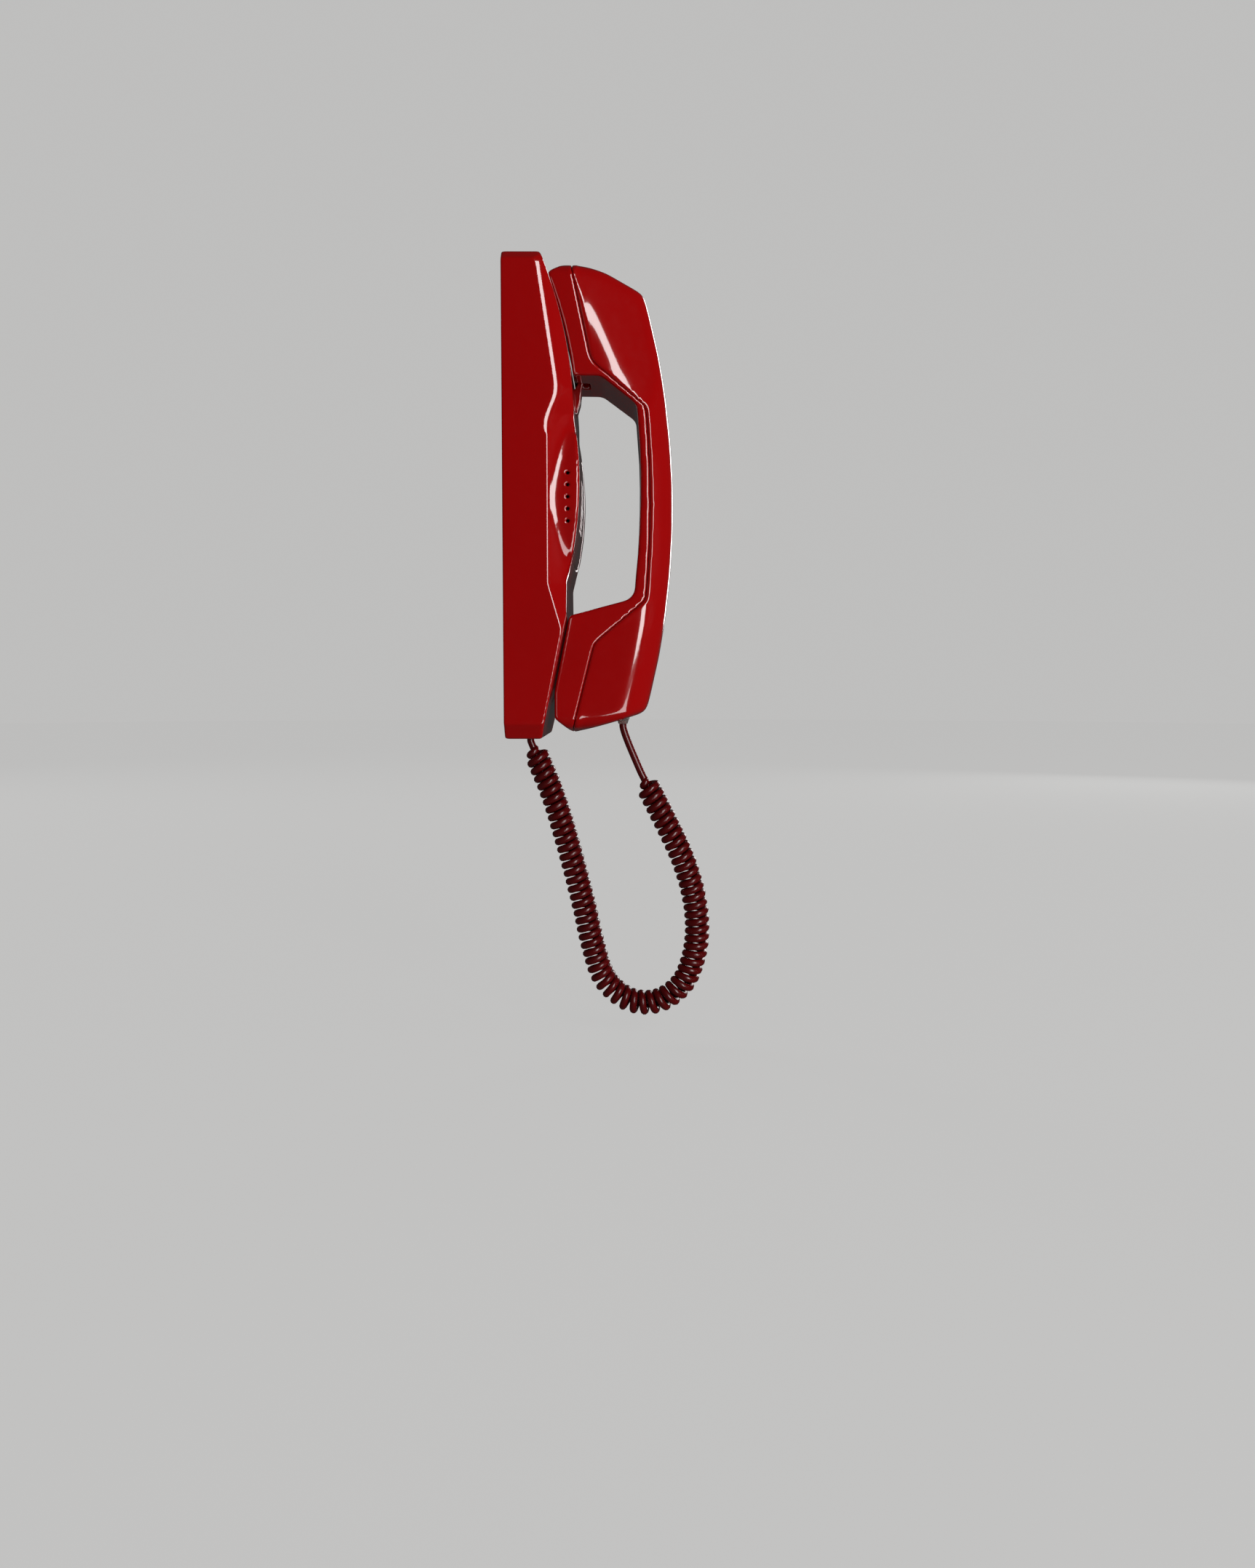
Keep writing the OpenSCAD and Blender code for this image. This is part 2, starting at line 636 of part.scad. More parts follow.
module hook_pocket(t) {
  // room for the hanger peg, from the underside of the ear end
  translate([-hook_w / 2 - 0.8 - t, -38.4 - t, ear_z0 - 3]) cube([hook_w + 1.6 + 2 * t, 12 + t, 7.4 + t]);
}
module handset_inner_shell() color(red) {
  difference() {
    union() {
      intersection() {
        hand_shell();
        inner_side(0);
      }
      intersection() {
        union() {
          for (sx = [-1, 1]) {
            translate([sx * boss_x, 0, boss_ear_z]) front_bar(6.4, -20, -46.5);
            translate([sx * boss_x, 0, boss_mouth_z]) front_bar(6.4, -20, -41.5);
          }
          hook_pocket(1.6);
        }
        hand_form(1);
      }
    }
    hook_pocket(0);
    on_ear() hole_rings(2);
    on_mouth() hole_rings(1);
    for (sx = [-1, 1]) {
      translate([sx * boss_x, 0, boss_ear_z]) {
        front_bar(2.8, -20, -60);
        front_bar(5.2, -20, -35.4);
      }
      translate([sx * boss_x, 0, boss_mouth_z]) {
        front_bar(2.8, -20, -60);
        front_bar(5.2, -20, -26.4);
      }
    }
  }
}
module shell_screws() color(steel) {
  for (sx = [-1, 1]) {
    translate([sx * boss_x, 0, boss_ear_z]) back_screw(2.45, 5, 20, -35.4);
    translate([sx * boss_x, 0, boss_mouth_z]) back_screw(2.45, 5, 22, -26.4);
  }
}
// a screw whose head faces the base, seated at y = y0
module back_screw(d, head, length, y0) {
  front_bar(d, y0 + 0.5, y0 - length);
  difference() {
    front_bar(head, y0, y0 + 1.6);
    box(0, y0 + 3, 0, head * 0.8, 2, 0.7);
    box(0, y0 + 3, 0, 0.7, 2, head * 0.8);
  }
}
module receiver() color([0.3, 0.3, 0.32]) {
  on_ear() translate([0, 0, hand_t + 1.2]) {
    cylinder(d = 32, h = 6);
    translate([0, 0, 5.9]) cylinder(d = 24, h = 3.6);
    translate([0, 0, 9.4]) cylinder(d = 9, h = 1.4);
  }
}
module receiver_gasket() color(dark) {
  on_ear() translate([0, 0, hand_t + 0.35]) difference() {
    cylinder(d = 32, h = 0.85);
    translate([0, 0, -1]) cylinder(d = 25, h = 4);
  }
}
module microphone() color(steel) {
  on_mouth() translate([0, 0, hand_t + 1.4]) {
    cylinder(d = 10, h = 5.4);
    for (s = [-1, 1]) translate([s * 1.6, 0, 5.3]) cylinder(d = 0.8, h = 1.6);
  }
}
module microphone_holder() color(dark) {
  on_mouth() translate([0, 0, hand_t + 0.4]) difference() {
    union() {
      cylinder(d = 22, h = 1);
      cylinder(d = 14, h = 5.6);
    }
    translate([0, 0, 1]) cylinder(d = 10.05, h = 6);
    translate([0, 0, -1]) cylinder(d = 6, h = 4);
  }
}
module handset_weight() color(steel) {
  difference() {
    box(0, -68.2, 2, 22, 4.3, 62);
    for (z = [-18, 22]) translate([0, 0, z]) front_bar(3, -60, -80);
  }
}
module weight_screws() color(steel) {
  for (z = [-18, 22]) translate([0, 0, z]) back_screw(2.35, 5, 7.2, -68.2);
}
module handset_jack() color(dark) {
  difference() {
    box(0, hand_jack_y + 5.5, -88.5, 13, 11, 15);
    box(0, hand_jack_y + 4, -90.5, 8.1, 7.5, 14);
  }
}
module handset_wires() {
  color([0.8, 0.1, 0.1])
    tube(curve([[3, -52, -80.9], [4, -53, -72], [10, -60, -52], [14.5, -67, -30], [15, -69, 10],
                [13, -66, 40], [8, -58, 62], [3, -46, 80], [2, -41, 87]], 3), wire_d, 8);
  color([0.15, 0.15, 0.15])
    tube(curve([[-3, -52, -80.9], [-4, -51, -76], [-4, -44, -75], [-1.6, -36, -75.4]], 3), wire_d, 8);
}

// ================= cord =================
// The coil hangs in one loop between the two jacks. Points are [x, y, z].
plug_base_z = -half_h - 1.4;
plug_hand_z = -102.6;
lead_base_route = [
  [0, jack_y, plug_base_z], [0, jack_y, -110.9], [0, -9.37, -112], [0, -10, -113.5], [0, -10.21, -114]
];
lead_hand_route = [
  [0, hand_jack_y, plug_hand_z], [0, hand_jack_y, -103.8], [0, -54.5, -106], [0, -55.7, -109.5],
  [0, -57.4, -113.8], [0, -59.2, -118.1], [0, -61, -122.3], [0, -62.8, -126.4], [0, -64.6, -130]
];
coil_route = [
  [0, -10.21, -114], [0, -13.57, -122], [0, -16.93, -130], [0.3, -20.8, -140.5], [0.9, -25.4, -156],
  [1.6, -30.2, -174], [2.2, -34.9, -193], [2.8, -39.3, -213], [3.4, -45, -229.5], [3.8, -56.9, -240],
  [3.8, -71.5, -240.6], [3.4, -83.6, -231.5], [2.8, -89.4, -216.5], [2.2, -90.6, -201], [1.6, -88.6, -186],
  [0.6, -84.2, -171], [0, -78.4, -157.6], [0, -72.6, -146], [0, -68.6, -138], [0, -64.6, -130]
];
module plug(y, z) {
  translate([0, y, z]) {
    translate([-3.8, -3.2, 2.4]) cube([7.6, 6.4, 11.2]);
    translate([-1.6, 3.1, 5]) cube([3.2, 0.6, 8]);
    rotate_extrude($fn = 24) polygon([[0, 0], [2.2, 0], [3, 2.5], [0, 2.5]]);
  }
}
module plug_base() color([0.75, 0.75, 0.72]) plug(jack_y, plug_base_z);
module plug_handset() color([0.75, 0.75, 0.72]) plug(hand_jack_y, plug_hand_z);
module cord_lead_base() color(red) tube(lead_base_route, lead_d, 8);
module cord_lead_handset() color(red) tube(lead_hand_route, lead_d, 8);
module cord_coil() color(red) tube(curve(coil_route, 2), coil_d, 12);

base_cover();
back_plate();
face_plate();
hook_tab();
hook_plunger();
hook_switch();
circuit_board();
board_screws();
line_transformer();
capacitors();
line_jack();
cord_jack();
ringer_sounder();
sounder_ring();
sounder_screws();
ringer_slide();
ringer_switch();
cover_screws();
base_wires();
handset_inner_shell();
handset_outer_shell();
receiver();
receiver_gasket();
microphone();
microphone_holder();
handset_weight();
weight_screws();
handset_jack();
shell_screws();
handset_wires();
plug_base();
plug_handset();
cord_lead_base();
cord_lead_handset();
cord_coil();
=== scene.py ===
import math
import bmesh
import bpy
from mathutils import Matrix, Vector
from mathutils.bvhtree import BVHTree


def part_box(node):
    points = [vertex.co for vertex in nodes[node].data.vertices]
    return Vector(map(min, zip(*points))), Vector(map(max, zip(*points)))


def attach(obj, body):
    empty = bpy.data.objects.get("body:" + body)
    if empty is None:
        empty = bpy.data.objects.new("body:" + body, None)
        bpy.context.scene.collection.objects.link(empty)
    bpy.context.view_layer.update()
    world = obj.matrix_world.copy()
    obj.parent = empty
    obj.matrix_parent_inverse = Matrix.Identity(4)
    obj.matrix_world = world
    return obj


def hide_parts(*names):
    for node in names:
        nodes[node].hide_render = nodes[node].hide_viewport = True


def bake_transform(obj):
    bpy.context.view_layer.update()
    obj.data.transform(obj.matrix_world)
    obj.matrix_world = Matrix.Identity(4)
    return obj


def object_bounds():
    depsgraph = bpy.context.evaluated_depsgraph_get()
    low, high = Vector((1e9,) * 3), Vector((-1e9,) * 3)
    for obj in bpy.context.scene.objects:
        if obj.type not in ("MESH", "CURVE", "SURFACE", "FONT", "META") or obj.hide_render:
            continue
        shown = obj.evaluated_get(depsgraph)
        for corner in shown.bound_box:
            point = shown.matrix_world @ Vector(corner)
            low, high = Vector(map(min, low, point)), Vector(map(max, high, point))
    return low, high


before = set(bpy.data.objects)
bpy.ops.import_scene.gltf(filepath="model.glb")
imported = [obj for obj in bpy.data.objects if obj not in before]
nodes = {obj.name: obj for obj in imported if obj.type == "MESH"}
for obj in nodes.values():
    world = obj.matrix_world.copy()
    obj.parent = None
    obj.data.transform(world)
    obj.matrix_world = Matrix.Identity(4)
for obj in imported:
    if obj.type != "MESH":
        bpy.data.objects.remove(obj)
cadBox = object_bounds()
scene = bpy.context.scene
mm = 0.001
print("frame loaded")


# ---- camera: at the phone's left side, level with its lower half and tipped slightly down
viewpoint = {"place": (-0.639, -0.0562, -0.0835), "pitch": 4.35, "lens": 30.06, "sensor": 36.0,
             "clip": (0.01, 30)}


def makeCamera():
    data = bpy.data.cameras.new("camera")
    data.sensor_fit = "AUTO"
    data.sensor_width = viewpoint["sensor"]
    data.lens = viewpoint["lens"]
    data.clip_start, data.clip_end = viewpoint["clip"]
    camera = bpy.data.objects.new("camera", data)
    scene.collection.objects.link(camera)
    pitch = math.radians(viewpoint["pitch"])
    rise, level = math.sin(pitch), math.cos(pitch)
    aim = Matrix(((0, rise, -level), (-1, 0, 0), (0, level, rise)))
    camera.matrix_world = Matrix.Translation(viewpoint["place"]) @ aim.to_4x4()
    scene.camera = camera


makeCamera()


# ---- shared helpers
def newPiece(name, bm, body=None, material=None, smooth=True):
    mesh = bpy.data.meshes.new(name)
    bm.to_mesh(mesh)
    bm.free()
    piece = bpy.data.objects.new(name, mesh)
    scene.collection.objects.link(piece)
    for polygon in mesh.polygons:
        polygon.use_smooth = smooth
    if material:
        mesh.materials.append(material)
    if body:
        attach(piece, body)
    return piece


def evaluated(piece):
    graph = bpy.context.evaluated_depsgraph_get()
    return bpy.data.meshes.new_from_object(piece.evaluated_get(graph))


def settle(piece):
    # applies the piece's modifiers to its mesh
    old = piece.data
    name = old.name
    piece.data = evaluated(piece)
    piece.modifiers.clear()
    bpy.data.meshes.remove(old)
    piece.data.name = name


def mergedCopy(node):
    bm = bmesh.new()
    bm.from_mesh(nodes[node].data)
    bmesh.ops.remove_doubles(bm, verts=bm.verts, dist=1e-6)
    return bm


# ---- finishes
def newFinish(name):
    material = bpy.data.materials.new(name)
    material.use_nodes = True
    tree = material.node_tree
    return material, tree, tree.nodes["Principled BSDF"]


def setInput(material, socket, value):
    material.node_tree.nodes["Principled BSDF"].inputs[socket].default_value = value


def noise(tree, scale, detail=3.0, roughness=0.55):
    place = tree.nodes.new("ShaderNodeTexCoord")
    texture = tree.nodes.new("ShaderNodeTexNoise")
    texture.inputs["Scale"].default_value = scale
    texture.inputs["Detail"].default_value = detail
    texture.inputs["Roughness"].default_value = roughness
    tree.links.new(place.outputs["Object"], texture.inputs["Vector"])
    return texture.outputs["Fac"]


def between(tree, value, low, high, fromLow=0.3, fromHigh=0.7):
    # the value's usual span stretched to run from low to high
    span = tree.nodes.new("ShaderNodeMapRange")
    span.inputs["From Min"].default_value = fromLow
    span.inputs["From Max"].default_value = fromHigh
    span.inputs["To Min"].default_value = low
    span.inputs["To Max"].default_value = high
    tree.links.new(value, span.inputs["Value"])
    return span.outputs["Result"]


def blended(tree, value, first, second):
    mix = tree.nodes.new("ShaderNodeMix")
    mix.data_type = "RGBA"
    tree.links.new(value, mix.inputs[0])
    for socket, colour in ((mix.inputs[6], first), (mix.inputs[7], second)):
        socket.default_value = (*colour, 1)
    return mix.outputs[2]


def scaled(colour, factor):
    return tuple(min(1.0, c * factor) for c in colour)


patterns = {"drift": 38, "gloss": 210, "grainDepth": 0.2 * mm, "waveDepth": 0.4 * mm}


def bump(tree, scale, detail, strength, depth):
    node = tree.nodes.new("ShaderNodeBump")
    node.inputs["Strength"].default_value = strength
    node.inputs["Distance"].default_value = depth
    tree.links.new(noise(tree, scale, detail), node.inputs["Height"])
    return node


def moulded(name, colour, rough, mottle, grainScale, grain, waveScale=None, wave=0.0, metallic=0.0, level=0.5,
            coat=None):
    # a moulded or machined surface: faint colour drift, patchy gloss, fine grain over slow waves
    material, tree, shader = newFinish(name)
    shader.inputs["Metallic"].default_value = metallic
    shader.inputs["Specular IOR Level"].default_value = level
    if coat:
        shader.inputs["Coat Weight"].default_value = coat[0]
        shader.inputs["Coat Roughness"].default_value = coat[1]
    drift = between(tree, noise(tree, patterns["drift"], 4.0), 0, 1)
    base = blended(tree, drift, scaled(colour, 1 - mottle), scaled(colour, 1 + mottle))
    roughness = between(tree, noise(tree, patterns["gloss"], 5.0, 0.65), *rough)
    tree.links.new(base, shader.inputs["Base Color"])
    tree.links.new(roughness, shader.inputs["Roughness"])
    fine = bump(tree, grainScale, 2.0, grain, patterns["grainDepth"])
    if wave:
        slow = bump(tree, waveScale, 1.0, wave, patterns["waveDepth"])
        tree.links.new(slow.outputs["Normal"], fine.inputs["Normal"])
    tree.links.new(fine.outputs["Normal"], shader.inputs["Normal"])
    return material


board = {"mask": (0.012, 0.075, 0.03), "track": (0.03, 0.17, 0.06), "cells": 190, "trackEdge": (0.05, 0.08),
         "rough": (0.25, 0.42), "glossScale": 400, "relief": 0.3, "reliefDepth": 0.1 * mm}


def boardGreen():
    # solder mask over a maze of copper tracks
    material, tree, shader = newFinish("board green")
    place = tree.nodes.new("ShaderNodeTexCoord")
    cells = tree.nodes.new("ShaderNodeTexVoronoi")
    cells.feature = "DISTANCE_TO_EDGE"
    cells.inputs["Scale"].default_value = board["cells"]
    tree.links.new(place.outputs["Object"], cells.inputs["Vector"])
    track = between(tree, cells.outputs["Distance"], 1, 0, *board["trackEdge"])
    tree.links.new(blended(tree, track, board["mask"], board["track"]), shader.inputs["Base Color"])
    roughness = between(tree, noise(tree, board["glossScale"]), *board["rough"])
    tree.links.new(roughness, shader.inputs["Roughness"])
    relief = tree.nodes.new("ShaderNodeBump")
    relief.inputs["Strength"].default_value = board["relief"]
    relief.inputs["Distance"].default_value = board["reliefDepth"]
    tree.links.new(track, relief.inputs["Height"])
    tree.links.new(relief.outputs["Normal"], shader.inputs["Normal"])
    return material


# each is given its colour, lowest and highest roughness, colour drift, grain's scale and grain's strength
redPlastic = moulded("red plastic", (0.2, 0.0004, 0.0006), (0.12, 0.17), 0.02, 1900, 0.02,
                     waveScale=120, wave=0.05, level=0.18, coat=(1.0, 0.06))
cordRed = moulded("cord red", (0.05, 0.0006, 0.0009), (0.2, 0.3), 0.12, 2600, 0.06,
                  waveScale=500, wave=0.08, level=0.45)
backBlack = moulded("back black", (0.022, 0.022, 0.024), (0.5, 0.68), 0.12, 3200, 0.5)
blackPlastic = moulded("black plastic", (0.02, 0.02, 0.021), (0.3, 0.45), 0.1, 2600, 0.12)
screwSteel = moulded("screw steel", (0.56, 0.57, 0.58), (0.22, 0.42), 0.08, 4200, 0.1, metallic=1.0)
micMetal = moulded("mic metal", (0.66, 0.66, 0.64), (0.25, 0.38), 0.05, 5200, 0.08, metallic=1.0)
weightSteel = moulded("weight steel", (0.3, 0.3, 0.31), (0.4, 0.62), 0.16, 900, 0.3, metallic=1.0)
coilTape = moulded("coil tape", (0.62, 0.47, 0.12), (0.28, 0.4), 0.1, 900, 0.15)
capacitorBlue = moulded("capacitor blue", (0.03, 0.06, 0.24), (0.2, 0.32), 0.08, 1400, 0.05)
sounderGrey = moulded("sounder grey", (0.16, 0.155, 0.15), (0.45, 0.6), 0.1, 2400, 0.2)
capsuleGrey = moulded("capsule grey", (0.2, 0.2, 0.21), (0.35, 0.5), 0.1, 2400, 0.15)
wireYellow = moulded("wire yellow", (0.62, 0.43, 0.03), (0.3, 0.42), 0.08, 3000, 0.05)
wireRed = moulded("wire red", (0.5, 0.02, 0.02), (0.3, 0.42), 0.08, 3000, 0.05)
softRubber = moulded("soft rubber", (0.018, 0.018, 0.018), (0.7, 0.85), 0.15, 1800, 0.3, level=0.3)
goldContact = moulded("gold contact", (0.85, 0.6, 0.22), (0.2, 0.32), 0.06, 4000, 0.05, metallic=1.0)
clearPlastic = moulded("clear plastic", (0.5, 0.49, 0.46), (0.08, 0.14), 0.03, 2400, 0.03)
setInput(clearPlastic, "Transmission Weight", 0.88)
greenBoard = boardGreen()

carriedOver = {
    "back_plate": backBlack, "hook_switch": blackPlastic, "circuit_board": greenBoard,
    "board_screws": screwSteel, "line_transformer": coilTape, "capacitors": capacitorBlue,
    "line_jack": blackPlastic, "cord_jack": blackPlastic, "ringer_sounder": sounderGrey,
    "sounder_ring": blackPlastic, "sounder_screws": screwSteel, "ringer_switch": screwSteel,
    "base_wires": wireYellow, "receiver": capsuleGrey, "receiver_gasket": softRubber, "microphone": micMetal,
    "microphone_holder": softRubber, "handset_weight": weightSteel, "weight_screws": screwSteel,
    "handset_jack": blackPlastic, "handset_wires": wireRed, "plug_base": clearPlastic,
    "plug_handset": clearPlastic,
}
for nodeName, material in carriedOver.items():
    nodes[nodeName].data.materials.clear()
    nodes[nodeName].data.materials.append(material)
print("finishes made")


# ---- curly cord: one wire from the base's plug, wound into its coil, to the handset's plug
cordPlan = {"wire": 3.6 * mm, "coil": 12.4 * mm, "pitch": 4.12 * mm, "turnPoints": 16, "runIn": 5 * mm,
            "length": 1.83, "steps": 60, "clear": 1.01, "tightest": 0.5}
leadBase = [(0, -9, -109.9), (0, -9, -110.9), (0, -9.37, -112), (0, -10, -113.5), (0, -10.21, -114)]
leadHandset = [(0, -54, -102.6), (0, -54, -103.8), (0, -54.5, -106), (0, -55.7, -109.5), (0, -57.4, -113.8),
               (0, -59.2, -118.1), (0, -61, -122.3), (0, -62.8, -126.4), (0, -64.6, -130)]
coilRoute = [(0, -10.21, -114), (0, -13.57, -122), (0, -16.93, -130), (0.3, -20.8, -140.5),
             (0.9, -25.4, -156), (1.6, -30.2, -174), (2.2, -34.9, -193), (2.8, -39.3, -213),
             (3.4, -45, -229.5), (3.8, -56.9, -240), (3.8, -71.5, -240.6), (3.4, -83.6, -231.5),
             (2.8, -89.4, -216.5), (2.2, -90.6, -201), (1.6, -88.6, -186), (0.6, -84.2, -171),
             (0, -78.4, -157.6), (0, -72.6, -146), (0, -68.6, -138), (0, -64.6, -130)]


def smoothRoute(points, steps):
    # Catmull-Rom curve through the points, in metres
    p = [Vector(point) * mm for point in points]
    found = []
    for i in range(len(p) - 1):
        a, b, c, d = p[max(i - 1, 0)], p[i], p[i + 1], p[min(i + 2, len(p) - 1)]
        for j in range(steps):
            t = j / steps
            found.append(0.5 * (2 * b + (c - a) * t + (2 * a - 5 * b + 4 * c - d) * t * t
                                + (3 * b - a - 3 * c + d) * t * t * t))
    return found + [p[-1]]


def smoothStep(t):
    t = max(0.0, min(1.0, t))
    return t * t * (3 - 2 * t)


def coilPoints(route):
    # walks along the coil's middle line and winds the wire round it; where the line bends, the turns are set
    # wider apart, so that they stay clear of each other on the inside of the bend
    line = smoothRoute(route, cordPlan["steps"])
    lengths = [0.0]
    for a, b in zip(line, line[1:]):
        lengths.append(lengths[-1] + (b - a).length)
    total = lengths[-1]
    winding = (cordPlan["coil"] - cordPlan["wire"]) / 2
    reach = cordPlan["steps"]
    found, phase, nextPhase = [], 0.0, 0.0
    step = 2 * math.pi / cordPlan["turnPoints"]
    for i in range(1, len(line) - 1):
        before, after = line[max(i - reach, 0)], line[min(i + reach, len(line) - 1)]
        bend = (after - line[i]).angle(line[i] - before, 0) / max((after - before).length / 2, 1e-6)
        inside = max(1 - winding * bend, cordPlan["tightest"])
        pitch = max(cordPlan["pitch"], cordPlan["clear"] * cordPlan["wire"] / inside)
        phase += 2 * math.pi * (line[i] - line[i - 1]).length / pitch
        if phase < nextPhase:
            continue
        nextPhase += step
        along = (line[i + 1] - line[i - 1]).normalized()
        side = Vector((1, 0, 0))
        side = (side - along * side.dot(along)).normalized()
        other = along.cross(side)
        fromEnds = (lengths[i] / cordPlan["runIn"], (total - lengths[i]) / cordPlan["runIn"])
        radius = winding * smoothStep(fromEnds[0]) * smoothStep(fromEnds[1])
        found.append(line[i] + radius * (side * math.cos(phase) + other * math.sin(phase)))
    return found


def wirePiece(name, path, diameter, material, rings):
    data = bpy.data.curves.new(name, "CURVE")
    data.dimensions = "3D"
    data.bevel_depth = diameter / 2
    data.bevel_resolution = rings
    data.use_fill_caps = True
    spline = data.splines.new("POLY")
    spline.points.add(len(path) - 1)
    for point, place in zip(spline.points, path):
        point.co = (*place, 1)
    spline.use_smooth = True
    rough = bpy.data.objects.new(name + "Line", data)
    scene.collection.objects.link(rough)
    mesh = evaluated(rough)
    bpy.data.objects.remove(rough)
    bm = bmesh.new()
    bm.from_mesh(mesh)
    bpy.data.meshes.remove(mesh)
    bmesh.ops.remove_doubles(bm, verts=bm.verts, dist=1e-7)
    bmesh.ops.recalc_face_normals(bm, faces=bm.faces)
    return newPiece(name, bm, material=material)


cordPath = smoothRoute(leadBase, 4)[:-1] + coilPoints(coilRoute) + list(reversed(smoothRoute(leadHandset, 3)))
cord = wirePiece("curlyCord", cordPath, cordPlan["wire"], cordRed, 3)
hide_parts("cord_lead_base", "cord_coil", "cord_lead_handset")
print("cord wound:", len(cordPath), "points,",
      round(sum((b - a).length for a, b in zip(cordPath, cordPath[1:])), 3), "m")


# ---- plugs' contacts
def boxInto(bm, low, high):
    made = bmesh.ops.create_cube(bm, size=1)["verts"]
    bmesh.ops.scale(bm, vec=[b - a for a, b in zip(low, high)], verts=made)
    bmesh.ops.translate(bm, vec=[(a + b) / 2 for a, b in zip(low, high)], verts=made)
    return made


plugContact = {"count": 4, "pitch": 1.02, "thick": 0.35, "fromTop": 0.3, "length": 3.4, "deep": 2.4,
               "proud": 0.1}


def contactsOf(node, body, name):
    low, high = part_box(node)
    bm = bmesh.new()
    middle = (low.x + high.x) / 2
    top = high.z - plugContact["fromTop"] * mm
    for i in range(plugContact["count"]):
        x = middle + (i - (plugContact["count"] - 1) / 2) * plugContact["pitch"] * mm
        half = plugContact["thick"] * mm / 2
        boxInto(bm, (x - half, low.y - plugContact["proud"] * mm, top - plugContact["length"] * mm),
                (x + half, low.y + plugContact["deep"] * mm, top))
    return newPiece(name, bm, body, material=goldContact, smooth=False)


plugContacts = [contactsOf("plug_base", "base", "basePlugContacts"),
                contactsOf("plug_handset", "handset", "handsetPlugContacts")]
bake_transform(cord)


# ---- mouldings: a fine-celled copy of each shell, relaxed so that its edges get their moulded radius
def relax(bm, verts, passes):
    for _ in range(passes):
        bmesh.ops.smooth_vert(bm, verts=verts, factor=0.5, use_axis_x=True, use_axis_y=True, use_axis_z=True)


def remoulded(name, node, body, material, cell, passes, keep, zones=(), held=None):
    # zones are pairs of a choice of vertices and its own passes; held says which places aren't relaxed
    rough = newPiece(name + "Rough", mergedCopy(node))
    remesh = rough.modifiers.new("cells", "REMESH")
    remesh.mode = "VOXEL"
    remesh.voxel_size = cell
    bm = bmesh.new()
    bm.from_mesh(evaluated(rough))
    bpy.data.objects.remove(rough)
    relax(bm, [v for v in bm.verts if not (held and held(v.co / mm))], passes)
    for chosen, zonePasses in zones:
        bm.normal_update()
        relax(bm, chosen(bm), zonePasses)
    piece = newPiece(name, bm, body, material)
    thin = piece.modifiers.new("thin", "DECIMATE")
    thin.ratio = keep
    settle(piece)
    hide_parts(node)
    print(name, len(piece.data.polygons), "faces")
    return piece


def facingOut(bm, allowed):
    # outside vertices that pass the given test on their place, in millimetres, and direction
    tree = BVHTree.FromBMesh(bm)
    offSurface = 0.3 * mm
    return [vert for vert in bm.verts if allowed(vert.co / mm, vert.normal)
            and tree.ray_cast(vert.co + vert.normal * offSurface, vert.normal)[0] is None]


def alongLine(points, z):
    # y of a line of (y, z) points at height z
    for (y0, z0), (y1, z1) in zip(points, points[1:]):
        if z1 <= z <= z0:
            return y0 + (y1 - y0) * (z0 - z) / max(z0 - z1, 1e-6)
    return points[0][0] if z > points[0][1] else points[-1][0]


shellPlan = {"cell": 0.55 * mm, "passes": 3, "keep": 0.45, "backPasses": 150, "frontPasses": 8,
             "rimRoom": 2.4, "backTurn": 0.35, "earHoles": (14, 56)}
# y and z of the groove between the two shells, from the top down
partLine = [(-30.4, 106.6), (-39.3, 65.2), (-64.6, 45), (-66.6, 0), (-64.6, -44), (-40.6, -64.2),
            (-30.3, -104.8)]


def outerBack(bm):
    return facingOut(bm, lambda p, n: n.y < shellPlan["backTurn"]
                     and p.y < alongLine(partLine, p.z) - shellPlan["rimRoom"])


remoulded("outerShell", "handset_outer_shell", "handset", redPlastic, shellPlan["cell"],
          shellPlan["passes"], shellPlan["keep"], [(outerBack, shellPlan["backPasses"])])


def innerFront(bm):
    # all but the ear's holes and slot
    half, low = shellPlan["earHoles"]
    return facingOut(bm, lambda p, n: p.y > alongLine(partLine, p.z) + shellPlan["rimRoom"]
                     and (abs(p.x) > half or p.z < low))


remoulded("innerShell", "handset_inner_shell", "handset", redPlastic, shellPlan["cell"],
          shellPlan["passes"], shellPlan["keep"], [(innerFront, shellPlan["frontPasses"])])

coverPlan = {
    "cell": 0.6 * mm, "passes": 7, "keep": 0.42,
    # the pad's side walls: half width at the middle, radius, and the band round their foot that is relaxed
    "padHalf": 43.5, "padCurve": 75, "foot": 4.8, "footBand": (62, 70), "footHeight": 38, "footFront": -35,
    "footOut": 44.3, "footTurn": 0.2, "footPasses": 110,
    # the crease between the side wall and the upper facet
    "creaseLow": 28, "creaseOut": 39, "creaseFront": -0.1, "creaseTurn": (0.76, 0.995), "creasePasses": 24,
    "creaseRounds": 4,
    # side holes: depth, middle height, pitch and room
    "holes": (-29.3, 0.6, 5.3, 1.7), "holesOut": 30,
    # ringer slot: least x, depth, height, and half the depth and height of its room
    "slot": (38, -13, -14, 4.6, 15)}


def nearSideHoles(p):
    y, middle, pitch, room = coverPlan["holes"]
    return abs(p.x) > coverPlan["holesOut"] and any(
        math.hypot(p.y - y, p.z - middle - i * pitch) < room for i in range(-2, 3))


def nearSlot(p):
    x, y, z, halfDeep, halfTall = coverPlan["slot"]
    return p.x > x and abs(p.y - y) < halfDeep and abs(p.z - z) < halfTall


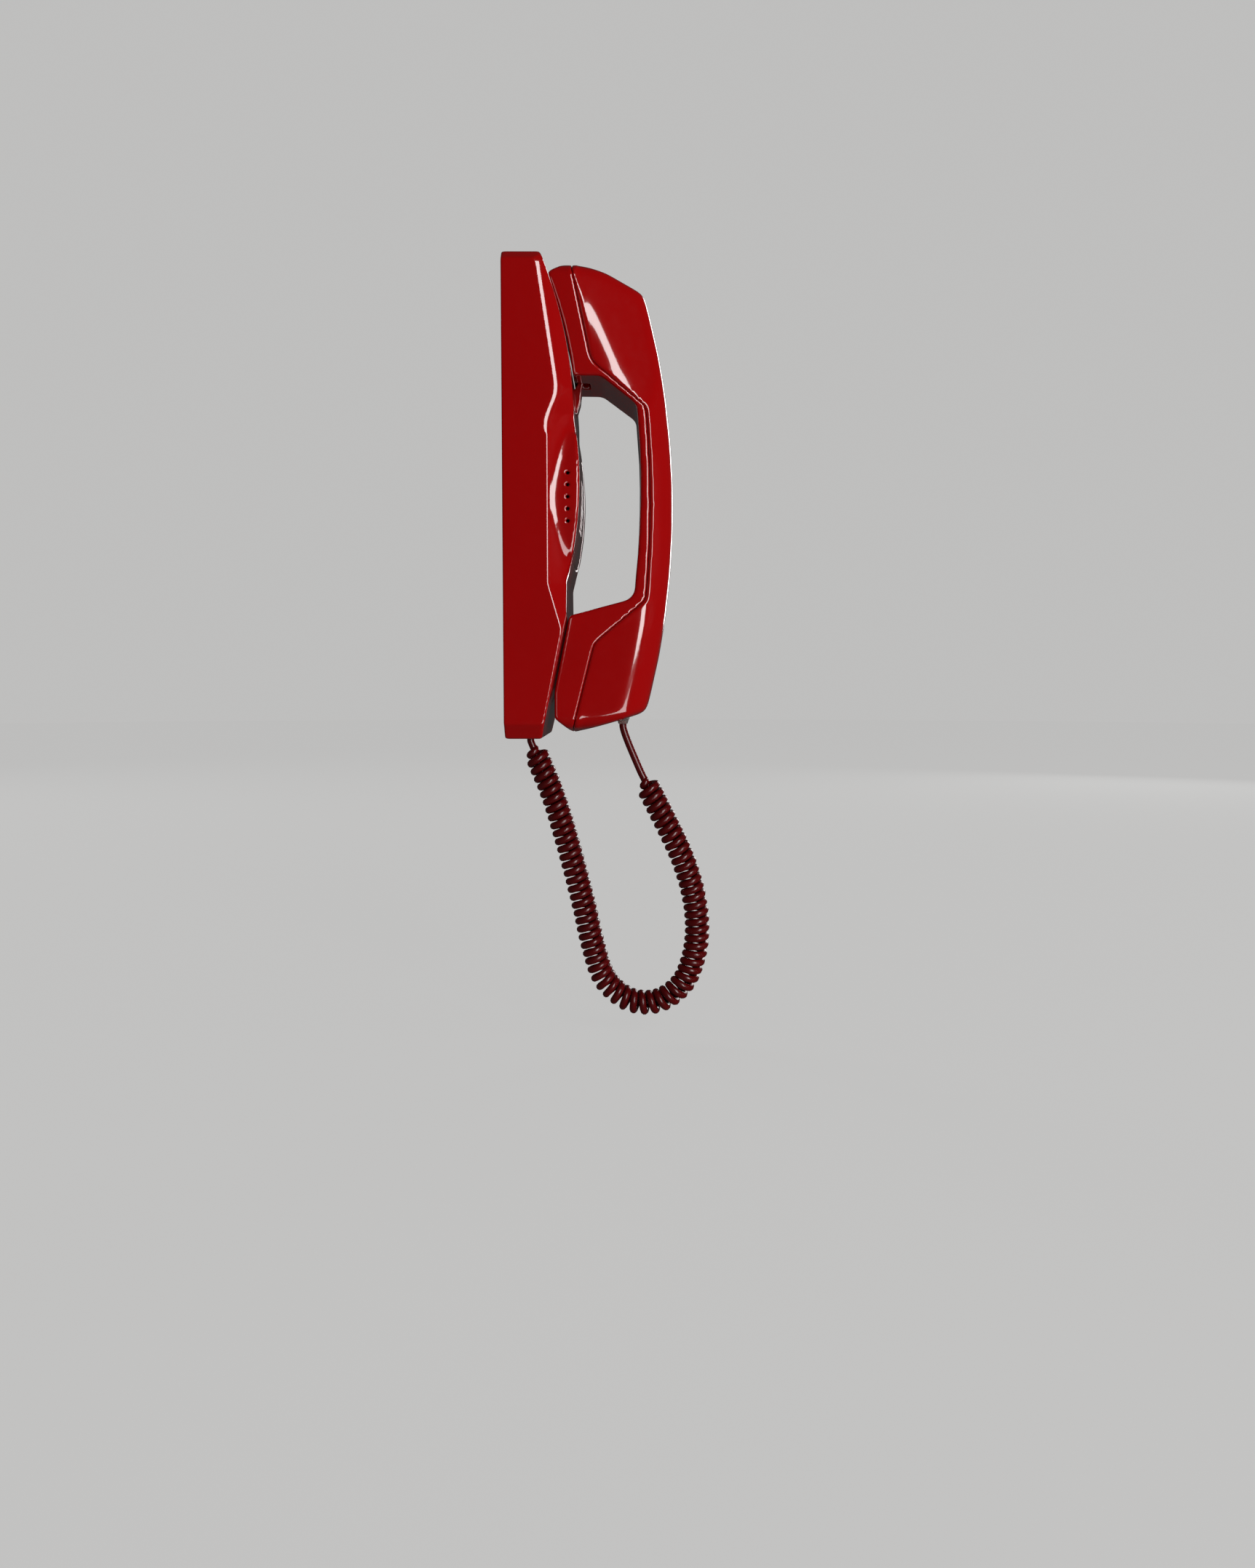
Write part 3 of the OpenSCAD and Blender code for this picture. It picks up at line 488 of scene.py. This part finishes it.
def padFoot(bm):
    centre = coverPlan["padCurve"] - coverPlan["padHalf"]
    low, high = coverPlan["footBand"]
    return facingOut(bm, lambda p, n: abs(p.z) < coverPlan["footHeight"] and n.y < coverPlan["footTurn"]
                     and p.y > coverPlan["footFront"]
                     and abs(math.hypot(abs(p.x) + centre, p.z) - coverPlan["padCurve"]) < coverPlan["foot"]
                     and low < abs(p.x) - p.y < high and abs(p.x) < coverPlan["footOut"])


def upperCrease(bm):
    # the strip that has turned part of the way from the side wall to the facet; relaxing widens it
    least, most = coverPlan["creaseTurn"]
    return facingOut(bm, lambda p, n: p.z > coverPlan["creaseLow"] and abs(p.x) > coverPlan["creaseOut"]
                     and n.y < coverPlan["creaseFront"] and least < abs(n.x) < most)


footZone = (padFoot, coverPlan["footPasses"])
creaseZone = (upperCrease, coverPlan["creasePasses"])
remoulded("coverMoulding", "base_cover", "base", redPlastic, coverPlan["cell"],
          coverPlan["passes"], coverPlan["keep"], [footZone] + [creaseZone] * coverPlan["creaseRounds"],
          lambda p: nearSideHoles(p) or nearSlot(p))
remoulded("facePlate", "face_plate", "base", redPlastic, cell=0.4 * mm, passes=3, keep=0.4)
remoulded("hookTab", "hook_tab", "base", redPlastic, cell=0.3 * mm, passes=3, keep=0.6)
ringerSlide = remoulded("ringerSlide", "ringer_slide", "volume_slide", blackPlastic,
                        cell=0.22 * mm, passes=2, keep=0.5)
# drawn a little shorter, to clear the slot's rounded corners at both ends of its travel
slidePlan = {"middle": -14 * mm, "shorter": 0.93}
for vert in ringerSlide.data.vertices:
    vert.co.z = slidePlan["middle"] + (vert.co.z - slidePlan["middle"]) * slidePlan["shorter"]
remoulded("hookPlunger", "hook_plunger", "plunger", blackPlastic,
          cell=0.25 * mm, passes=2, keep=0.5)
print("mouldings made")


# ---- cross-headed screws
def turned(profile, segments):
    # a profile of (radius, height) points spun round Z
    bm = bmesh.new()
    verts = [bm.verts.new((r, 0, z)) for r, z in profile]
    edges = [bm.edges.new(pair) for pair in zip(verts, verts[1:])]
    bmesh.ops.spin(bm, geom=verts + edges, cent=(0, 0, 0), axis=(0, 0, 1), dvec=(0, 0, 0), angle=2 * math.pi,
                   steps=segments, use_merge=True)
    bmesh.ops.remove_doubles(bm, verts=bm.verts, dist=1e-7)
    bmesh.ops.recalc_face_normals(bm, faces=bm.faces)
    return bm


# shares of the head's or shaft's size, but for the pitch and the tip's length, which are in millimetres
screwForm = {"segments": 32, "domeSteps": 6, "rim": 0.45, "pitch": 0.9, "root": 0.8, "flank": 0.3, "tip": 0.6,
             "tipLength": 0.4, "arm": 0.3, "armWidth": 0.075, "recess": 0.75, "taper": 0.55}


def screwProfile(head, headHeight, shaft, length):
    # domed head over a threaded shaft; the head's seat is at z = 0 and the shaft goes down
    profile = [(0, headHeight)]
    for i in range(1, screwForm["domeSteps"] + 1):
        a = math.radians(90 - 90 * i / screwForm["domeSteps"])
        rise = screwForm["rim"] + (1 - screwForm["rim"]) * math.sin(a)
        profile.append((head / 2 * math.cos(a), headHeight * rise))
    profile += [(head / 2, 0), (shaft / 2, 0)]
    pitch, root = screwForm["pitch"], shaft / 2 * screwForm["root"]
    flank = pitch * screwForm["flank"]
    for i in range(int(length / pitch)):
        z = -(i + 0.5) * pitch
        profile += [(root, z + flank), (shaft / 2, z), (root, z - flank)]
    profile += [(shaft / 2 * screwForm["tip"], -length + screwForm["tipLength"]), (0, -length)]
    return [(r * mm, z * mm) for r, z in profile]


def crossCutter(head, headHeight):
    # two crossed bars whose ends slope inwards on the way down
    cutter = bmesh.new()
    arm, width = head * screwForm["arm"] * mm, head * screwForm["armWidth"] * mm
    low, high = headHeight * (1 - screwForm["recess"]) * mm, headHeight * 2 * mm
    for a, b in ((arm, width), (width, arm)):
        for vert in boxInto(cutter, (-a, -b, low), (a, b, high)):
            if vert.co.z < headHeight * mm:
                vert.co.x *= screwForm["taper"] if a > b else 1
                vert.co.y *= screwForm["taper"] if b > a else 1
    return newPiece("screwCutter", cutter)


def screwMesh(head, headHeight, shaft, length):
    profile = screwProfile(head, headHeight, shaft, length)
    solid = newPiece("screwBlank", turned(profile, screwForm["segments"]))
    tool = crossCutter(head, headHeight)
    cut = solid.modifiers.new("cross", "BOOLEAN")
    cut.operation = "DIFFERENCE"
    cut.solver = "EXACT"
    cut.use_self = True
    cut.object = tool
    mesh = evaluated(solid)
    bpy.data.objects.remove(solid)
    bpy.data.objects.remove(tool)
    return mesh


def screws(name, node, body, mesh, placesAndTurns):
    bm = bmesh.new()
    for matrix in placesAndTurns:
        start = len(bm.verts)
        bm.from_mesh(mesh)
        bm.verts.ensure_lookup_table()
        bmesh.ops.transform(bm, matrix=matrix, verts=bm.verts[start:])
    piece = newPiece(name, bm, body, screwSteel)
    piece.data.set_sharp_from_angle(angle=math.radians(32))
    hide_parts(node)
    return piece


def towardsBack(place, turn):
    # head towards +Y
    return (Matrix.Translation([c * mm for c in place]) @ Matrix.Rotation(math.radians(-90), 4, "X")
            @ Matrix.Rotation(math.radians(turn), 4, "Z"))


# sizes are the head, its height, the shaft and its length; the ear's and mouth's screws have their z and seat
coverScrew = {"size": (5.8, 1.5, 2.85, 10.4), "x": 30, "z": 90, "seat": -1.6,
              "turn": 25, "turnX": 40, "turnZ": 17}
shellScrew = {"size": (5.0, 1.6, 2.45, 20), "x": 16.5, "ear": (64.5, -35.4), "mouth": (-91, -26.4),
              "turn": 10, "turnX": 33}

screws("coverScrews", "cover_screws", "base", screwMesh(*coverScrew["size"]),
       [towardsBack((sx * coverScrew["x"], coverScrew["seat"], sz * coverScrew["z"]),
                    coverScrew["turn"] + coverScrew["turnX"] * sx + coverScrew["turnZ"] * sz)
        for sx in (-1, 1) for sz in (-1, 1)])
screws("shellScrews", "shell_screws", "handset", screwMesh(*shellScrew["size"]),
       [towardsBack((sx * shellScrew["x"], seat, z), shellScrew["turn"] + shellScrew["turnX"] * sx)
        for sx in (-1, 1) for z, seat in (shellScrew["ear"], shellScrew["mouth"])])
print("screws made")


# ---- studio
def areaLight(name, place, size, power, target=None, lying=0, reflected=True, lighting=True):
    # aimed at its target, or without one lying face up and turned by that many degrees
    data = bpy.data.lights.new(name, "AREA")
    data.shape = "RECTANGLE"
    data.size, data.size_y = size
    data.energy = power
    light = bpy.data.objects.new(name, data)
    scene.collection.objects.link(light)
    light.location = place
    light.rotation_mode = "QUATERNION"
    if target:
        light.rotation_quaternion = (Vector(target) - Vector(place)).to_track_quat("-Z", "Y")
    else:
        turn = Matrix.Rotation(math.radians(lying), 3, "Z") @ Matrix.Rotation(math.pi, 3, "X")
        light.rotation_quaternion = turn.to_quaternion()
    light.visible_glossy = reflected
    light.visible_diffuse = lighting
    light.visible_camera = False


# the strip lies over the floor and is seen only in the gloss, for the edges that lean down
lights = {
    "key": {"place": (-1.83, -0.9, 0.5), "target": (0, -0.04, 0), "size": (0.62, 1.42), "power": 32},
    "strip": {"place": (-0.81, -0.395, -0.245), "lying": 26, "size": (1.15, 0.22), "power": 5,
              "lighting": False},
    "frontFill": {"place": (-0.7, -1.7, 0.1), "target": (0, 0, -0.03), "size": (1.2, 0.7), "power": 28,
                  "reflected": False},
    "backFill": {"place": (1.3, 1.5, 0.9), "target": (0, 0, 0), "size": (0.8, 0.8), "power": 16,
                 "reflected": False},
    "rightFill": {"place": (1.7, -1.0, 0.5), "target": (0, 0, 0), "size": (0.6, 1.2), "power": 12},
}
for lightName, plan in lights.items():
    areaLight(lightName, **plan)
studio = {"wall": 0.52, "ambient": 0.14, "reflected": 0.03, "tint": (1, 0.995, 0.985, 1),
          "ambientTint": (1, 0.99, 0.98, 1)}


def makeWorld():
    # pale to the eye, dim in the gloss, so that the plastic keeps its depth
    world = bpy.data.worlds.new("studio")
    world.use_nodes = True
    tree = world.node_tree
    rays = tree.nodes.new("ShaderNodeLightPath")
    shade = tree.nodes["Background"].outputs["Background"]
    tree.nodes["Background"].inputs["Color"].default_value = studio["ambientTint"]
    tree.nodes["Background"].inputs["Strength"].default_value = studio["ambient"]
    for output, strength in (("Is Glossy Ray", studio["reflected"]), ("Is Camera Ray", studio["wall"])):
        other = tree.nodes.new("ShaderNodeBackground")
        other.inputs["Color"].default_value = studio["tint"]
        other.inputs["Strength"].default_value = strength
        mix = tree.nodes.new("ShaderNodeMixShader")
        tree.links.new(rays.outputs[output], mix.inputs[0])
        tree.links.new(shade, mix.inputs[1])
        tree.links.new(other.outputs["Background"], mix.inputs[2])
        shade = mix.outputs["Shader"]
    tree.links.new(shade, tree.nodes["World Output"].inputs["Surface"])
    scene.world = world


makeWorld()
scene.view_settings.view_transform = "Standard"

floorPlan = {"radius": 6, "below": 0.012, "glow": 0.505}
floorMesh = bmesh.new()
bmesh.ops.create_circle(floorMesh, cap_ends=True, segments=96, radius=floorPlan["radius"])
bmesh.ops.translate(floorMesh, verts=floorMesh.verts, vec=(0, 0, cadBox[0].z - floorPlan["below"]))
floorPaint = moulded("floor paint", (0.05, 0.05, 0.0495), (0.9, 1.0), 0.01, 500, 0.02, level=0.0)
setInput(floorPaint, "Emission Color", studio["tint"])
setInput(floorPaint, "Emission Strength", floorPlan["glow"])
floor = newPiece("floor", floorMesh, material=floorPaint)
floor.visible_glossy = False

print("done")
